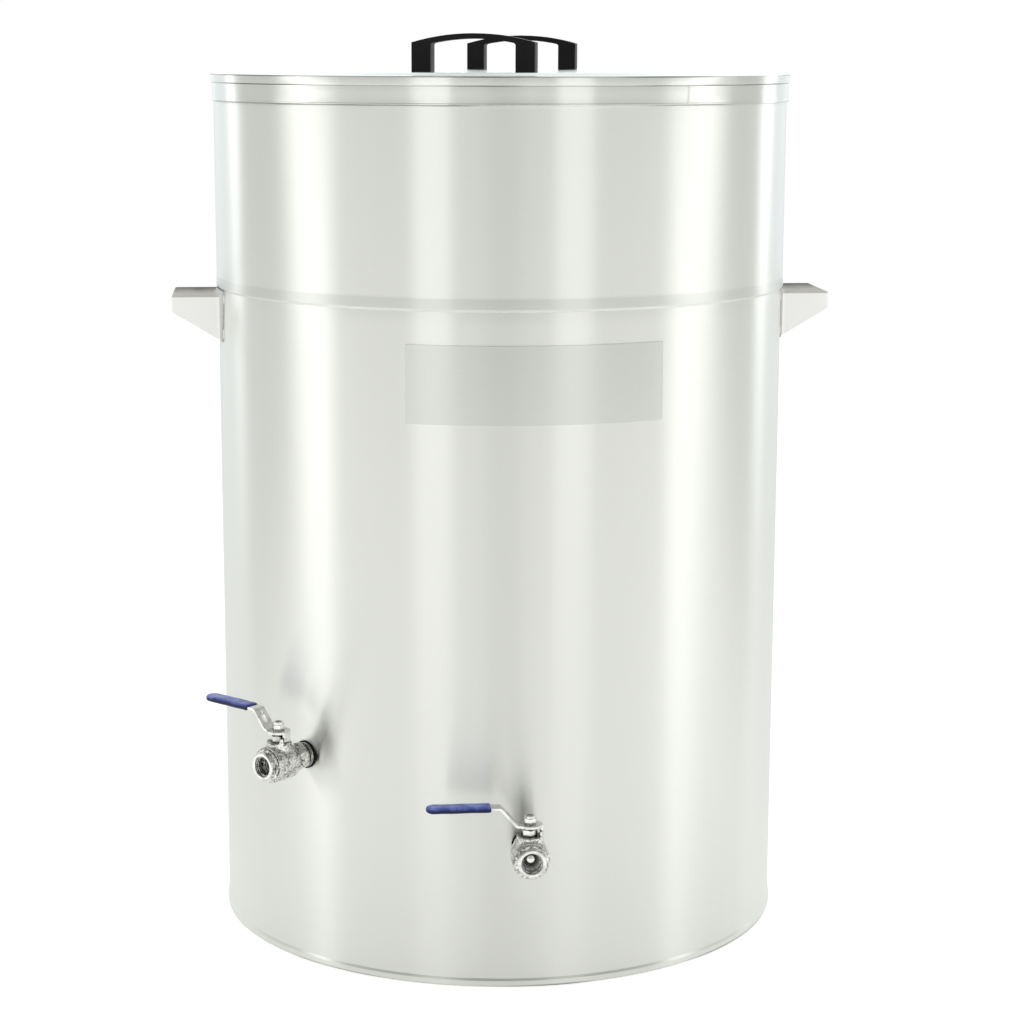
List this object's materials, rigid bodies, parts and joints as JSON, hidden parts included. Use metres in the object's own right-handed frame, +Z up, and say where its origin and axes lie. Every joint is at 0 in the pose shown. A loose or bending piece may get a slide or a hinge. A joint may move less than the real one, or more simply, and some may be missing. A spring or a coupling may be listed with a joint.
{
  "type": "wax sterilizer",
  "caption": "Tall jacketed stainless tank for melting and sterilizing beeswax, with a lift-off lid, side handles, lever ball valves on the wall and a rear immersion heater.",
  "frame": {"origin": "on the floor under the tank's axis, in the plane of the bottom hem", "axes": "+Z up the tank's axis, -Y out of the lower valve, +X to the right seen from the front"},
  "size_m": [0.696, 0.7665, 0.9403],
  "materials": {
    "brushed_sheet": "bright brushed stainless sheet",
    "cast_stainless": "tumbled stainless casting",
    "machined_steel": "bright turned and pressed stainless",
    "polished_steel": "mirror polished",
    "seat_plastic": "white seal plastic",
    "blue_vinyl": "dipped blue vinyl",
    "black_rubber": "black sealing rubber",
    "black_plastic": "satin moulded plastic",
    "plate_metal": "satin grey foil, bare",
    "heater_brass": "turned brass",
    "element_sheath": "dull heater sheath",
    "head_casting": "dark grey powder coat",
    "switch_plastic": "moulded switch body"
  },
  "bodies": {
    "tank": {"shell_lower": "brushed_sheet", "shell_upper": "brushed_sheet", "base_plate": "brushed_sheet", "vessel_wall": "brushed_sheet", "vessel_bottom": "brushed_sheet", "vessel_supports": "brushed_sheet", "top_ring": "brushed_sheet", "jacket_filler_neck": "brushed_sheet", "jacket_filler_plug": "machined_steel", "front_plate": "plate_metal", "side_handle_left": "brushed_sheet", "side_handle_right": "brushed_sheet", "front_valve_nipple": "cast_stainless", "front_valve_gasket": "black_rubber", "front_valve_body": "cast_stainless", "front_valve_end_cap": "cast_stainless", "front_valve_seats": "seat_plastic", "front_valve_packing": "seat_plastic", "front_valve_gland_nut": "machined_steel", "left_valve_nipple": "cast_stainless", "left_valve_gasket": "black_rubber", "left_valve_body": "cast_stainless", "left_valve_end_cap": "cast_stainless", "left_valve_seats": "seat_plastic", "left_valve_packing": "seat_plastic", "left_valve_gland_nut": "machined_steel", "heater_boss": "brushed_sheet", "heater_plug": "heater_brass", "heater_elements": "element_sheath", "heater_sensor_pocket": "element_sheath", "heater_head": "head_casting", "heater_cover": "head_casting", "heater_cover_screws": "machined_steel", "heater_cable_gland": "black_plastic", "thermostat": "switch_plastic"},
    "lid": {"lid_panel": "brushed_sheet", "lid_skirt": "brushed_sheet", "lid_handle_front": "black_plastic", "lid_handle_rear": "black_plastic", "lid_handle_screws": "machined_steel", "lid_handle_washers": "machined_steel"},
    "front_lever": {"front_valve_lever": "machined_steel", "front_valve_lever_sleeve": "blue_vinyl", "front_valve_lever_washer": "machined_steel", "front_valve_lever_nut": "machined_steel", "front_valve_stem": "machined_steel", "front_valve_ball": "polished_steel"},
    "left_lever": {"left_valve_lever": "machined_steel", "left_valve_lever_sleeve": "blue_vinyl", "left_valve_lever_washer": "machined_steel", "left_valve_lever_nut": "machined_steel", "left_valve_stem": "machined_steel", "left_valve_ball": "polished_steel"},
    "knob": {"thermostat_knob": "black_plastic"}
  },
  "joints": [
    {"name": "lid_lift", "type": "slide", "parent": "tank", "child": "lid", "axis": [0, 0, 1], "range_m": [0, 0.3]},
    {"name": "front_lever_turn", "type": "hinge", "parent": "tank", "child": "front_lever", "pos_m": [0, -0.338, 0.149], "axis": [0, 0, 1], "range_deg": [0, 90]},
    {"name": "left_lever_turn", "type": "hinge", "parent": "tank", "child": "left_lever", "pos_m": [-0.24314, -0.23479, 0.2205], "axis": [0, 0, 1], "range_deg": [0, 90]},
    {"name": "thermostat_knob_turn", "type": "hinge", "parent": "tank", "child": "knob", "pos_m": [0, 0.39, 0.08], "axis": [0, -1, 0], "range_deg": [0, 270]}
  ]
}
